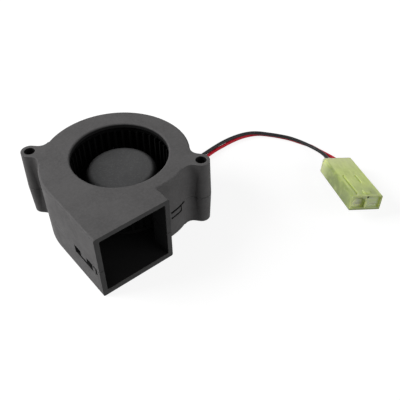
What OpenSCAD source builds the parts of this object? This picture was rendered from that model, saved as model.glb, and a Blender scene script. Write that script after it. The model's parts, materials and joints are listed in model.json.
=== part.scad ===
// Small direct-current centrifugal blower: a snap-together scroll casing with two screw ears,
// a squirrel-cage impeller on an outer-rotor motor, and a two-wire lead with a two-way connector.
// Millimetres. The origin is on the spin axis at the base plane, +Z is the way the inlet faces,
// and the outlet blows along -Y.

/* [Casing] */
// Overall height of the casing
casing_h = 20; // [19:0.5:26]
// Height of the lower half, up to the parting line
split_h = 9; // [8:0.25:11]
// Thickness of the side walls
wall = 1.3; // [1:0.1:1.6]
// Thickness of the top wall round the inlet
top_wall = 1.3; // [1:0.1:1.8]
// Thickness of the base
base_wall = 1.5; // [1.2:0.1:2]
// Distance from the blade cage to the outside of the scroll's tightest quarter, beside the tongue
scroll_gap = 1.8; // [1.6:0.1:2.6]
// Radius that the scroll gains at the start of its second quarter
scroll_step = 3.4; // [3:0.1:4.5]
// Radius that the scroll gains at the start of its third quarter
scroll_drift = 0.4; // [0:0.1:1]
// Distance of the tight quarter's centre from the spin axis, across
scroll_x = 2.1; // [1.6:0.1:2.4]
// Distance of the tight quarter's centre from the spin axis, towards the outlet
scroll_y = 0.6; // [0.3:0.1:1.2]
// Rounding of the outer edges
edge_r = 0.5; // [0.2:0.05:0.8]
// Rounding of the outer edges along the parting line
split_edge_r = 0.15; // [0.05:0.05:0.2]
// Height of the open seam round the ears and across the outlet face
seam_h = 0.25; // [0.1:0.05:0.35]
// Depth of the open seam
seam_depth = 0.35; // [0.2:0.05:0.5]
// Rounding at the foot of the walls, inside
inner_r = 0.4; // [0.2:0.05:0.6]
// Height of the aligning rim that stands on the lower half
rim_h = 0.8; // [0.5:0.1:1.2]
// Thickness of the aligning rim
rim_t = 0.55; // [0.45:0.05:0.65]

/* [Inlet and outlet] */
// How far the round inlet clears the inner edges of the blades
inlet_over = 0.15; // [0:0.05:0.5]
// Rounding of the inlet's lip
inlet_lip_r = 0.5; // [0.3:0.1:1.1]
// Outer width of the outlet
outlet_w = 21; // [19.5:0.25:21.5]
// Distance of the outlet face from the spin axis
outlet_reach = 21.9; // [20.5:0.1:25]
// Rounding of the corner between the scroll and the outlet
tongue_fillet = 0.8; // [0.4:0.1:1.5]
// Rounding of the tongue's tip, inside
tongue_tip_r = 0.6; // [0.3:0.1:0.7]
// Depth of the round recess under the base
recess_depth = 0.3; // [0.1:0.05:0.5]
// Outer radius of the recess under the base
recess_r = 11.5; // [9:0.5:12.5]
// Radius of the flush boss in the middle of the recess
recess_boss_r = 4.2; // [3.8:0.1:5]

/* [Ears] */
// Diameter of the screw holes
ear_hole_d = 2.9; // [2.5:0.1:3.2]
// Radius of an ear at its two ends
ear_r = 2.3; // [2.1:0.1:2.8]
// Radius that an ear gains by draft towards the parting line
ear_draft = 0.3; // [0.1:0.05:0.4]
// Distance of the hole's centre outside the scroll
ear_reach = 3.2; // [2.8:0.1:4]
// Direction of the right ear, seen from the tight quarter's centre
right_ear_angle = -50; // [-54:1:-46]
// Direction of the left ear, seen from the third quarter's centre
left_ear_angle = 134; // [126:1:142]
// Radius of the blend between an ear and the scroll
ear_fillet = 2.5; // [1:0.1:3]

/* [Snap latches] */
// Depth of the snap arms' windows below the parting line
latch_drop = 2.6; // [2.4:0.1:3]
// Height of the slits above and below a snap arm
latch_slit = 0.7; // [0.5:0.05:0.75]
// Length of the snap tab that hangs beside the outlet
outlet_tab_l = 2.7; // [2.2:0.1:3.2]
// Open length on each side of that tab
outlet_tab_gap = 2.8; // [2:0.1:3]
// Depth of that tab's window below the parting line
outlet_window_h = 2.7; // [2.5:0.1:3]
// Length of the two snap arms
round_arm_l = 3.7; // [3:0.1:4.2]
// Open length past the snap arms
round_arm_gap = 0.5; // [0.3:0.05:0.8]
// How far the seam's slit runs on past the tongue latch
round_slit_l = 1.4; // [0.5:0.1:1.8]
// Thickness of a catch, which hangs from the upper half behind a snap arm
catch_t = 0.5; // [0.4:0.05:0.55]
// Width of a catch
catch_w = 1.8; // [1.4:0.1:2.4]
// Distance of the outlet latch from the outlet face
outlet_latch_back = 3.2; // [3:0.1:4.5]
// Direction of the tongue latch, seen from the tight quarter's centre
tongue_latch_angle = -75; // [-78:1:-72]
// Direction of the back latch, seen from the second quarter's centre
back_latch_angle = 70; // [50:1:80]

/* [Impeller] */
// Outer radius of the blade cage
impeller_r = 14.4; // [14:0.1:14.6]
// Radial depth of the blades
blade_depth = 1.8; // [1.5:0.1:2]
// Number of blades
blade_count = 40; // [28:1:44]
// Thickness of a blade
blade_t = 0.45; // [0.35:0.05:0.6]
// Radius of a blade's curve
blade_curve_r = 1.7; // [1.5:0.1:2.2]
// Gap between the casing floor and the impeller's back plate
floor_gap = 3.4; // [3.2:0.1:4]
// Thickness of the back plate
back_plate_t = 0.9; // [0.6:0.1:1.2]
// Height of the ring that ties the blade tips
tip_ring_h = 0.8; // [0.5:0.1:1.2]
// Radial width of the tip ring
tip_ring_w = 0.9; // [0.6:0.1:1.2]
// Gap between the tip ring and the top wall
tip_gap = 0.9; // [0.5:0.1:1.4]
// Outer radius of the hub
hub_r = 9.4; // [9.2:0.1:10]
// Thickness of the hub's skirt
hub_wall = 1; // [0.8:0.05:1.2]
// Thickness of the hub's face
hub_face_t = 1.1; // [0.9:0.1:1.4]
// Depth of the hub's face below the top of the casing
hub_drop = 5; // [4:0.25:5.5]
// Rounding of the hub's edge
hub_edge_r = 1.5; // [0.8:0.1:1.8]

/* [Motor] */
// Diameter of the shaft
shaft_d = 2; // [1.8:0.1:2.2]
// Wall of the sintered sleeve bearing
bearing_wall = 1.1; // [0.9:0.1:1.2]
// Wall of the brass bearing tube
tube_wall = 0.8; // [0.6:0.1:0.9]
// Thickness of the rotor's steel cup
yoke_t = 0.6; // [0.5:0.05:0.7]
// Thickness of the ring magnet
magnet_t = 0.8; // [0.7:0.05:0.9]
// How far the ring magnet reaches past each end of the core
magnet_over = 0.5; // [0.3:0.05:0.6]
// Air gap between the magnet and the stator
air_gap = 0.35; // [0.3:0.05:0.45]
// Height of the bottom of the stator core above the casing floor
core_lift = 3.7; // [3.6:0.1:4]
// Axial room between the windings and the rotor's steel cup
winding_room = 2.2; // [1.8:0.1:2.6]
// Thickness of a pole shoe
shoe_t = 1; // [0.8:0.1:1.1]
// Angle that a pole shoe spans
shoe_angle = 74; // [66:1:80]
// Width of a pole's neck
neck_w = 1.6; // [1.4:0.1:1.8]
// Radial width of the core's inner ring
core_ring_w = 0.7; // [0.6:0.05:0.8]
// Thickness of the end insulators
insulator_t = 0.6; // [0.5:0.05:0.7]
// Thickness of an insulator's cheek beside a winding
cheek_t = 0.25; // [0.2:0.05:0.3]
// Build of a winding on its pole
coil_build = 0.7; // [0.5:0.05:0.75]
// Thickness of the thrust pad under the shaft
thrust_pad_t = 1.4; // [1.2:0.1:1.6]
// Length of the brass insert in the hub
insert_l = 2; // [1.6:0.1:2.4]
// Wall of the brass insert in the hub
insert_wall = 1.1; // [0.9:0.1:1.3]
// Thickness of the oil slinger
slinger_t = 0.5; // [0.4:0.05:0.6]
// Thickness of the retaining clip
clip_t = 0.3; // [0.2:0.05:0.35]

/* [Circuit board] */
// Thickness of the board
board_t = 0.8; // [0.6:0.1:0.8]
// Height of the board above the casing floor
board_lift = 0.7; // [0.6:0.1:0.8]
// Outer radius of the board
board_r = 8.6; // [8.3:0.1:9]
// Height of the Hall driver chip
chip_h = 1; // [0.8:0.05:1]
// Diameter of the winding pins
pin_d = 0.5; // [0.4:0.05:0.6]

/* [Leads and connector] */
// Diameter of each lead
lead_d = 1.04; // [1:0.01:1.06]
// Distance between the two leads' centres, side by side in the casing wall
lead_pitch = 1.1; // [1.08:0.01:1.14]
// Length of the connector housing
plug_l = 20.3; // [18:0.1:22]
// Width of the connector housing
plug_w = 9; // [8.8:0.1:9.6]
// Height of the connector housing
plug_h = 4.5; // [4.4:0.1:5]
// Distance between the two ways of the connector
plug_pitch = 4.25; // [4.2:0.05:4.35]
// Width of a connector cavity
cavity_w = 3.85; // [3.5:0.05:3.95]
// Height of a connector cavity
cavity_h = 3.4; // [3:0.1:3.5]
// Depth of the arched cavity; the square one is half as deep
cavity_depth = 1; // [0.7:0.1:1.6]
// Rounding of the connector's upper long edges
plug_edge_r = 0.7; // [0.3:0.1:0.8]
// Rounding of the connector's lower long edges
plug_foot_r = 0.2; // [0.1:0.05:0.4]
// Diameter of the crimp contacts
contact_d = 1.7; // [1.5:0.1:1.9]

/* [Fits] */
// Radial running clearance of the shaft in its bearing
run_gap = 0.03; // [0.02:0.01:0.05]
// Clearance of parts that are pressed or glued together
fit_gap = 0.03; // [0.02:0.01:0.05]
// Clearance between faces that slide or turn past each other
face_gap = 0.3; // [0.25:0.05:0.4]
// Clearance round the aligning rim
rim_gap = 0.1; // [0.05:0.05:0.15]

/* [Hidden] */
$fn = 96;

// a cut runs this far past the faces that it opens
over = 1;

// colours of the pieces
plastic_grey = "#3c3c3d";
inner_black = "#1d1d1e";
nylon_green = "#b4be7d";

// the scroll's three quarter arcs, each tangent to the next, and the outlet's walls
tight_c = [scroll_x, -scroll_y];
tight_r = impeller_r + scroll_gap;
wide_c = tight_c - [scroll_step, 0];
wide_r = tight_r + scroll_step;
last_c = wide_c - [0, scroll_drift];
last_r = wide_r + scroll_drift;
left_x = last_c.x - last_r;
right_x = left_x + outlet_w;
duct_mid_x = (left_x + right_x) / 2;
outlet_y = -outlet_reach;
tongue_y = tight_c.y - tight_r;

// the inlet follows the blade cage
inlet_r = impeller_r - blade_depth + inlet_over;

// ears
right_ear = tight_c + (tight_r + ear_reach) * [cos(right_ear_angle), sin(right_ear_angle)];
left_ear = last_c + (last_r + ear_reach) * [cos(left_ear_angle), sin(left_ear_angle)];

// heights, from the floor up
floor_z = base_wall;
ceiling_z = casing_h - top_wall;
back_plate_z = floor_z + floor_gap;
tip_z = ceiling_z - tip_gap;
hub_top = casing_h - hub_drop;
hub_ceiling = hub_top - hub_face_t;
board_z = floor_z + board_lift;
board_top = board_z + board_t;
core_z = floor_z + core_lift;
winding_top = hub_ceiling - yoke_t - winding_room;
core_top = winding_top - coil_build - insulator_t;
winding_base = core_z - insulator_t - coil_build;

// radii, from the shaft out
shaft_r = shaft_d / 2;
bearing_bore_r = shaft_r + run_gap;
bearing_r = bearing_bore_r + bearing_wall;
tube_bore_r = bearing_r + fit_gap;
tube_r = tube_bore_r + tube_wall;
core_bore_r = tube_r + fit_gap;
core_ring_r = core_bore_r + core_ring_w;

// radii, from the hub in
hub_bore_r = hub_r - hub_wall;
yoke_r = hub_bore_r - fit_gap;
yoke_bore_r = yoke_r - yoke_t;
magnet_r = yoke_bore_r - fit_gap;
magnet_bore_r = magnet_r - magnet_t;
stator_r = magnet_bore_r - air_gap;
shoe_bore_r = stator_r - shoe_t;

// the bearing tube's seat, and what turns above and below the bearing
tube_z = 0.6;
boss_wall = 1.2;
boss_r = core_bore_r + boss_wall;
boss_h = 1.7;
boss_top = floor_z + boss_h;
shaft_base = tube_z + thrust_pad_t + run_gap;
clip_lift = 0.55;
clip_z = shaft_base + clip_lift;
bearing_base = clip_z + clip_t + face_gap;
insert_bite = 0.4;
insert_base = hub_ceiling - insert_l + insert_bite;
slinger_z = insert_base - slinger_t - fit_gap;
tube_top = slinger_z - face_gap;
bearing_sink = 0.2;
bearing_top = tube_top - bearing_sink;
insert_r = shaft_r + fit_gap + insert_wall;
hub_boss_wall = 0.9;
hub_boss_r = insert_r + fit_gap + hub_boss_wall;
magnet_z = core_z - magnet_over;
magnet_h = core_top - core_z + 2 * magnet_over;
yoke_base = magnet_z;
// the blades stop this far inside the rims that hold them
blade_inset = 0.1;

// the pry notch beside the outlet, under the parting line
notch_back = 1.2;
notch_l = 1.7;
notch_w = 0.8;
notch_drop = 2.4;
notch_bar_h = 0.7;
notch_depth = wall * 0.45;

// the leads' way through the casing wall
lead_r = lead_d / 2;
lead_y = 1;
lead_lift = 1.65;
lead_z = floor_z + lead_lift;
lead_wall_x = wide_c.x + sqrt(pow(wide_r, 2) - pow(lead_y - wide_c.y, 2));
lead_slot_w = lead_pitch + lead_d + 2 * fit_gap;
lead_slot_z = lead_z - lead_r - fit_gap;
lead_out = 0.265;
lead_exit_x = lead_wall_x + lead_out;
tail_pad_in = 1.7;
tail_bend = 2;

// the connector lies on its back edge and on the toe of its latch, nose up
plug_turn = -116.7;
plug_nose_up = 9.3;
plug_lean = -8.5;
plug_rest = 0.06;
plug_rise = plug_l / 2 * sin(plug_nose_up)
  + cos(plug_nose_up) * (plug_w / 2 * sin(-plug_lean) + plug_h / 2 * cos(plug_lean));
plug_at = [lead_exit_x + 33.4, -35.6, plug_rest + plug_rise];
contact_back = 3;
mating_skin = 0.8;
contact_front = mating_skin + 0.2;
square_depth = cavity_depth / 2;
blade_slit_w = 1.8;
blade_slit_h = 0.25;
blade_slit_drop = 0.9;
contact_nose_l = 4;
contact_pin_d = contact_d * 0.7;
latch_arm_t = 0.8;
latch_arm_w = 3.6;
latch_arm_gap = 0.4;
latch_root_l = 2.4;
latch_toe_l = 1.6;
latch_bite = 0.3;
latch_root_x = -plug_l * 0.2;
latch_arm_l = plug_l * 0.36;
latch_toe_x = latch_root_x + latch_arm_l - latch_toe_l;
latch_toe_z = (plug_rest - plug_at.z - latch_toe_x * sin(plug_nose_up)) / (cos(plug_nose_up) * cos(plug_lean))
  - latch_arm_w / 2 * tan(plug_lean);
pinhole_d = 0.85;
pinhole_depth = 2;
pinhole_in = 0.15;
keyway_w = 0.8;
keyway_depth = 0.3;
keyway_back = 0.3;
keyway_end = 0.75;
keyway_pitch = 3.6;
keyway_shift = -0.95;
long_keyway_l = plug_l / 2 + keyway_back - keyway_end;
short_keyway_l = 4.3;
lug_r = 1.1;
lug_h = 0.35;
lug_round = 0.25;
lug_back = 1.8;
lug_y = 0.3;
lug_sink = 0.15;

// routes of the free leads, from where they leave the casing wall to the connector
function from_wall(route) = [for (q = route) q + [lead_exit_x, 0, 0]];
black_route = from_wall([
  [0, 1.55, 3.15], [1.8, 1.55, 3.15], [3.7, 1.7, 2.95], [5.9, 2.1, 2.5], [8.5, 2.6, 1.95],
  [11.7, 3.15, 1.65], [16.85, 3.8, 1.55], [20.55, 3.95, 1.58], [23.9, 3.7, 1.63], [27.1, 3.05, 1.65],
  [29.95, 1.9, 1.65], [32.3, 0.25, 1.5], [34.15, -1.95, 1.45], [36.2, -4.75, 1.45], [38, -7.85, 1.45],
  [39.25, -11.4, 1.42], [39.9, -15, 1.5], [39.85, -18.2, 1.85], [39.25, -20.9, 2.3], [38, -23.3, 2.75],
  [36, -25.65, 3.15], [34.7, -28.25, 3.65]
]);
red_route = from_wall([
  [0, 0.45, 3.15], [1.8, 0.45, 3.15], [3.6, 0.55, 2.85], [5.6, 0.95, 2.15], [7.9, 1.45, 1.3],
  [11.3, 2.2, 0.7], [16.35, 3.25, 0.6], [20.15, 3.45, 0.55], [23.7, 3.45, 0.55], [27.15, 3.05, 0.55],
  [30.2, 2.1, 0.55], [32.7, 0.65, 0.55], [34.65, -1.5, 0.55], [36.7, -4.35, 0.55], [38.5, -7.5, 0.55],
  [39.85, -10.95, 0.55], [40.95, -14.2, 0.55], [41.25, -17.2, 0.6], [41.2, -20.3, 1],
  [40.7, -23.6, 1.75], [39.8, -27.6, 2.55], [38.45, -30.25, 3]
]);
// the same leads inside the casing, from the board to the wall
function tail_route(side) = let (
    y = lead_y + side * lead_pitch / 2,
    pad_z = board_top + lead_r + fit_gap,
    pad_x = board_r - tail_pad_in,
    end_x = lead_exit_x - fit_gap
  ) [
    [pad_x, y, pad_z], [pad_x + tail_bend, y, pad_z], [pad_x + 2 * tail_bend, y, (pad_z + lead_z) / 2],
    [pad_x + 3 * tail_bend, y, lead_z], [(pad_x + 3 * tail_bend + end_x) / 2, y, lead_z], [end_x, y, lead_z]
  ];

// unit vector along a
function unit(a) = a / norm(a);
// a point on the smooth curve through the points p, between p[i] and p[i + 1]
function smooth_point(p, i, t) = let (
    a = p[max(i - 1, 0)], b = p[i], c = p[i + 1], d = p[min(i + 2, len(p) - 1)],
    m = (c - a) / 2, n = (d - b) / 2
  ) (2 * t * t * t - 3 * t * t + 1) * b + (t * t * t - 2 * t * t + t) * m
    + (3 * t * t - 2 * t * t * t) * c + (t * t * t - t * t) * n;
function smooth_route(p, steps) = [
  for (i = [0 : len(p) - 2], k = [0 : steps - 1]) smooth_point(p, i, k / steps), p[len(p) - 1]
];
// a round tube swept along the points p, its rings square to the route
module tube_along(p, r, sides = 8) {
  last = len(p) - 1;
  function along(i) = unit(p[min(i + 1, last)] - p[max(i - 1, 0)]);
  function ring(i) = let (t = along(i), s = unit(cross([0, 0, 1], t)), u = cross(t, s)) [
    for (k = [0 : sides - 1]) p[i] + r * (cos(360 * k / sides) * s + sin(360 * k / sides) * u)
  ];
  points = [for (i = [0 : last]) each ring(i)];
  near_cap = [for (k = [0 : sides - 1]) k];
  far_cap = [for (k = [sides - 1 : -1 : 0]) last * sides + k];
  walls = [
    for (i = [0 : last - 1], k = [0 : sides - 1]) let (a = i * sides + k, b = i * sides + (k + 1) % sides)
      each [[a, a + sides, b], [b, a + sides, b + sides]]
  ];
  polyhedron(points, concat([near_cap, far_cap], walls), convexity = 6);
}

// a ring of height h from radius inner to radius outer
module ring(outer, inner, h) {
  difference() {
    cylinder(r = outer, h = h);
    translate([0, 0, -over]) cylinder(r = inner, h = h + 2 * over);
  }
}

// what a rounding of radius r takes off an outer corner at the origin's upper right
module corner_cut(r) {
  difference() {
    square(r + over);
    circle(r);
  }
}

// section of a casing half from the centre line to a wall at radius r
module wall_section(r, z0, z1, top_round, base_round) {
  difference() {
    translate([0, z0]) square([r, z1 - z0]);
    if (top_round > 0) translate([r - top_round, z1 - top_round]) corner_cut(top_round);
    if (base_round > 0) translate([r - base_round, z0 + base_round]) mirror([0, 1]) corner_cut(base_round);
  }
}

// the scroll and its outlet as a solid between two heights, its walls drawn in by inset
module scroll_body(inset, z0, z1, top_round = 0, base_round = 0, front_y = outlet_y) {
  for (q = [[tight_c, tight_r, -90], [wide_c, wide_r, 0], [last_c, last_r, 90]])
    translate(q[0]) rotate(q[2]) rotate_extrude(angle = 90)
      wall_section(q[1] - inset, z0, z1, top_round, base_round);
  // straight run from the tight quarter to the outlet
  translate(tight_c) rotate(-90) rotate([90, 0, 0]) linear_extrude(tight_c.x - duct_mid_x)
    wall_section(tight_r - inset, z0, z1, top_round, base_round);
  // the two halves of the outlet duct
  for (side = [0, 1])
    translate([duct_mid_x, last_c.y]) mirror([side, 0]) rotate([90, 0, 0]) linear_extrude(last_c.y - front_y)
      wall_section(outlet_w / 2 - inset, z0, z1, top_round, base_round);
}

// plan of an ear: its neck, and blends of radius ear_fillet to the quarter arc of radius r
module ear_neck(r, half_w) {
  reach = r + ear_reach;
  blend_y = half_w + ear_fillet;
  blend_x = sqrt(pow(r + ear_fillet, 2) - pow(blend_y, 2));
  difference() {
    polygon([[0, 0], [blend_x, -blend_y], [blend_x, blend_y]]);
    for (side = [-1, 1]) translate([blend_x, side * blend_y]) circle(ear_fillet);
  }
  translate([blend_x - over, -half_w]) square([reach - blend_x + over, 2 * half_w]);
}

// both ears between two heights, widest at the parting line, their necks drawn in by inset
module ears(z0, z1, r0, r1, inset = 0) {
  for (e = [[tight_c, tight_r, right_ear_angle], [last_c, last_r, left_ear_angle]])
    translate([e[0].x, e[0].y, z0]) rotate(e[2]) {
      linear_extrude(z1 - z0) ear_neck(e[1], ear_r - inset);
      translate([e[1] + ear_reach, 0]) cylinder(r1 = r0, r2 = r1, h = z1 - z0);
    }
}

module ear_holes() {
  for (e = [right_ear, left_ear])
    translate([e.x, e.y, -over]) cylinder(d = ear_hole_d, h = casing_h + 2 * over);
}

// the rounded inside corner between the scroll and the outlet
module tongue_corner(z0, z1) {
  translate([right_x, tongue_y, z0]) linear_extrude(z1 - z0) difference() {
    translate([-over, -tongue_fillet]) square([tongue_fillet + over, tongue_fillet + over]);
    translate([tongue_fillet, -tongue_fillet]) circle(tongue_fillet);
  }
}

// what the rounding of the tongue's tip takes off, from the floor up to z1
module tongue_tip(z1) {
  translate([right_x - wall, tongue_y + wall, floor_z]) linear_extrude(z1 - floor_z) difference() {
    translate([-over, -tongue_tip_r]) square([tongue_tip_r + over, tongue_tip_r + over]);
    translate([tongue_tip_r, -tongue_tip_r]) circle(tongue_tip_r);
  }
}

// a wall band of the casing between two heights, from one depth in the wall to another
module wall_band(z0, z1, from_depth = 0, to_depth = wall) {
  difference() {
    scroll_body(from_depth, z0, z1);
    scroll_body(to_depth, z0 - over, z1 + over, front_y = outlet_y - over);
  }
}

// the snap tab beside the outlet: it hangs from the upper half in a pocket of the lower half,
// and its toe hooks under a keeper that stays behind it
outlet_window_l = outlet_tab_l + 2 * outlet_tab_gap;
tab_lift = 1.05;
tab_h = outlet_window_h - tab_lift;
toe_t = 0.4;
keeper_drop = tab_h - toe_t - rim_gap;
tab_sink = 0.05;
toe_short = 0.15;
module at_outlet_latch() {
  translate([left_x, outlet_y + outlet_latch_back, split_h]) rotate(90) children();
}
module outlet_window() at_outlet_latch() {
  translate([0, rim_t - wall, -outlet_window_h])
    cube([outlet_window_l, wall - rim_t + over, outlet_window_h + over]);
  translate([0, -wall - over, -outlet_window_h])
    cube([outlet_window_l, wall + 2 * over, outlet_window_h - keeper_drop]);
}
module outlet_tab() at_outlet_latch() {
  tab_t = wall - rim_t - rim_gap;
  translate([outlet_tab_gap, -tab_t, -tab_h])
    cube([outlet_tab_l, tab_t - tab_sink, tab_h + 2 * split_edge_r]);
  translate([outlet_tab_gap, toe_short - wall, -tab_h])
    cube([outlet_tab_l, wall - toe_short - tab_t / 2, toe_t]);
}

// the two snap arms, 1 beside the tongue and 2 at the back: x runs along the wall from the arm's root,
// and z = 0 is the parting line
arm_window_l = round_arm_l + round_arm_gap;
slit_l = [0, arm_window_l + round_slit_l, arm_window_l];
module at_latch(k) {
  if (k == 1)
    translate([tight_c.x, tight_c.y, split_h]) rotate(tongue_latch_angle + 90)
      translate([-slit_l[1] / 2, -tight_r]) children();
  if (k == 2)
    translate([wide_c.x, wide_c.y, split_h]) rotate(back_latch_angle - 90)
      translate([-slit_l[2] / 2, wide_r]) children();
}

// through-cut of a latch's section, which lies along the wall
module latch_cut() {
  rotate([90, 0, 0]) translate([0, 0, -2 * wall]) linear_extrude(4 * wall) children();
}
// the window in the lower half, and the slit along the seam
module latch_window(k) {
  translate([0, -latch_drop]) square([arm_window_l, latch_drop + rim_h + over]);
  translate([0, -latch_slit]) square([slit_l[k], latch_slit]);
}
// the arm of the lower half that springs over the catch
module snap_arm() {
  translate([-over / 10, latch_slit - latch_drop])
    square([round_arm_l + over / 10, latch_drop - 2 * latch_slit]);
}
// the catch of the upper half: a tab that hangs behind the arm; the back one closes its whole window
catch_gap = 0.15;
close_gap = 0.05;
catch_end = 0.2;
catch_bite = 0.1;
catch_toe_sink = 0.35;
module catch_tab(k) {
  x0 = k == 2 ? close_gap : round_arm_l - catch_end - catch_w;
  x1 = k == 2 ? arm_window_l - close_gap : round_arm_l - catch_end;
  translate([x0, catch_gap - latch_drop])
    square([x1 - x0, latch_drop - catch_gap + rim_h + rim_gap + catch_bite]);
}
// its toe, which hooks outwards under the arm
module catch_toe() {
  translate([round_arm_l - catch_end - catch_w, catch_gap - latch_drop])
    square([catch_w, latch_slit - catch_gap - rim_gap]);
}

// upper half of the casing, with the inlet
module upper_casing() color(plastic_grey) {
  difference() {
    union() {
      scroll_body(0, split_h, casing_h, top_round = edge_r, base_round = split_edge_r);
      ears(split_h, casing_h, ear_r + ear_draft, ear_r);
      tongue_corner(split_h, casing_h - edge_r);
    }
    scroll_body(wall, split_h - over, ceiling_z, top_round = inner_r, front_y = outlet_y - over);
    // seat of the aligning rim
    scroll_body(wall - rim_t - rim_gap, split_h - over, split_h + rim_h + rim_gap,
      front_y = outlet_y + wall - rim_gap);
    tongue_tip(ceiling_z);
    inlet_cut();
    ear_holes();
  }
  outlet_tab();
  for (k = [1, 2]) {
    intersection() {
      wall_band(split_h - latch_drop, split_h + rim_h + rim_gap + catch_bite, from_depth = wall - catch_t);
      at_latch(k) latch_cut() catch_tab(k);
    }
    intersection() {
      wall_band(split_h - latch_drop, split_h, from_depth = catch_toe_sink, to_depth = wall - catch_t / 2);
      at_latch(k) latch_cut() catch_toe();
    }
  }
  lead_clamp();
}

// the inlet and its rounded lip
module inlet_cut() {
  translate([0, 0, ceiling_z - over]) cylinder(r = inlet_r, h = top_wall + 2 * over);
  rotate_extrude() translate([inlet_r + inlet_lip_r, casing_h - inlet_lip_r]) mirror([1, 0])
    corner_cut(inlet_lip_r);
}

// tongue of the upper half that closes the lead slot from above
module lead_clamp() {
  clamp_base = lead_z + lead_r + fit_gap;
  intersection() {
    wall_band(clamp_base, split_h + rim_h);
    translate([0, lead_y - lead_slot_w / 2 + face_gap / 2, clamp_base])
      cube([casing_h * 2, lead_slot_w - face_gap, casing_h]);
  }
}

// lower half of the casing, with the seat of the motor
module lower_casing() color(plastic_grey) difference() {
  union() {
    difference() {
      union() {
        scroll_body(0, 0, split_h, top_round = split_edge_r, base_round = edge_r);
        ears(0, split_h - seam_h, ear_r, ear_r + ear_draft);
        ears(split_h - seam_h - over, split_h, ear_r - seam_depth, ear_r - seam_depth, inset = seam_depth);
        tongue_corner(edge_r, split_h);
        scroll_body(wall - rim_t, split_h - over, split_h + rim_h, front_y = outlet_y + wall);
      }
      scroll_body(wall, floor_z, split_h + rim_h + over, base_round = inner_r, front_y = outlet_y - over);
      for (k = [1, 2]) at_latch(k) latch_cut() latch_window(k);
      outlet_window();
      lead_slot();
      tongue_tip(split_h + rim_h + over);
      pry_notch();
      outlet_seam();
      ear_holes();
    }
    for (k = [1, 2])
      intersection() {
        wall_band(split_h - latch_drop, split_h, to_depth = wall - catch_t - catch_gap);
        at_latch(k) latch_cut() snap_arm();
      }
    cylinder(r = boss_r, h = boss_top);
    board_seat();
  }
  translate([0, 0, tube_z]) cylinder(r = core_bore_r, h = casing_h);
  translate([0, 0, -over]) ring(recess_r, recess_boss_r, over + recess_depth);
}

// open seam across the outlet face
module outlet_seam() {
  translate([left_x - over, outlet_y - over, split_h - seam_h])
    cube([outlet_w + 2 * over, over + seam_depth, seam_h + over]);
}

// notch in the left wall beside the outlet, where a blade can pry the halves apart
module pry_notch() {
  translate([left_x - over, outlet_y + notch_back, split_h]) {
    translate([0, 0, -notch_drop]) cube([over + notch_depth, notch_w, notch_drop + over]);
    translate([0, 0, -notch_bar_h]) cube([over + notch_depth, notch_l, notch_bar_h + over]);
  }
}

// slot in the right wall that the leads drop into
module lead_slot() {
  translate([0, lead_y - lead_slot_w / 2, lead_slot_z]) cube([casing_h * 2, lead_slot_w, casing_h]);
}

// three pads that the circuit board rests on
seat_inset = 1.2;
seat_r = 0.8;
module board_seat() {
  for (a = [60, 180, 300])
    rotate(a) translate([board_r - seat_inset, 0, 0]) cylinder(r = seat_r, h = board_z);
}

module bearing_tube() color("goldenrod")
  translate([0, 0, tube_z]) ring(tube_r, tube_bore_r, tube_top - tube_z);

module sleeve_bearing() color("peru")
  translate([0, 0, bearing_base]) ring(bearing_r, bearing_bore_r, bearing_top - bearing_base);

module thrust_pad() color("ivory") translate([0, 0, tube_z]) cylinder(r = bearing_r, h = thrust_pad_t);

// plan of the stator: an inner ring, four necks and four pole shoes, grown by cheek on the necks
module stator_plan(bore, cheek) {
  difference() {
    circle(core_ring_r);
    circle(bore);
  }
  for (k = [0 : 3]) rotate(90 * k) {
    translate([core_ring_r - core_ring_w / 2, -neck_w / 2 - cheek])
      square([shoe_bore_r + shoe_t / 2 - core_ring_r + core_ring_w / 2, neck_w + 2 * cheek]);
    intersection() {
      difference() {
        circle(stator_r);
        circle(shoe_bore_r);
      }
      polygon([[0, 0], 2 * stator_r * [cos(shoe_angle / 2), -sin(shoe_angle / 2)],
        2 * stator_r * [cos(shoe_angle / 2), sin(shoe_angle / 2)]]);
    }
  }
}

module stator_core() color("slategray")
  translate([0, 0, core_z]) linear_extrude(core_top - core_z) stator_plan(core_bore_r, 0);

// end insulator with a collar round the bearing tube
module insulator(collar_h) {
  linear_extrude(insulator_t) stator_plan(core_bore_r, cheek_t);
  ring(core_ring_r, core_bore_r, insulator_t + collar_h);
}

module upper_insulator() color("white") translate([0, 0, core_top]) insulator(coil_build);

module lower_insulator() color("white")
  translate([0, 0, core_z]) mirror([0, 0, 1]) insulator(core_z - insulator_t - boss_top);

// a winding round pole k
coil_clear = 0.12;
module coil(k) {
  hole_w = neck_w + 2 * cheek_t + 2 * fit_gap;
  inner_x = core_ring_r + coil_clear;
  outer_x = sqrt(pow(shoe_bore_r, 2) - pow(hole_w / 2 + coil_build, 2)) - coil_clear;
  hole_base = core_z - insulator_t - fit_gap;
  hole_top = core_top + insulator_t + fit_gap;
  color("chocolate") rotate(90 * (k - 1)) difference() {
    translate([inner_x, -hole_w / 2 - coil_build, winding_base])
      cube([outer_x - inner_x, hole_w + 2 * coil_build, winding_top - winding_base]);
    translate([inner_x - over, -hole_w / 2, hole_base])
      cube([outer_x - inner_x + 2 * over, hole_w, hole_top - hole_base]);
  }
}
module coil_1() coil(1);
module coil_2() coil(2);
module coil_3() coil(3);
module coil_4() coil(4);

// pins stick out this far below the board and above it
pin_below = 0.3;
pin_above = 1.1;
// where the three winding pins stand, between the windings
pin_out = 1.3;
pin_circle_r = core_ring_r + pin_out;
pin_angles = [45, 135, 225];

module circuit_board() color("darkgreen") translate([0, 0, board_z]) difference() {
  ring(board_r, boss_r + face_gap, board_t);
  for (a = pin_angles)
    rotate(a) translate([pin_circle_r, 0, -over]) cylinder(d = pin_d + 2 * fit_gap, h = board_t + 2 * over);
}

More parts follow.
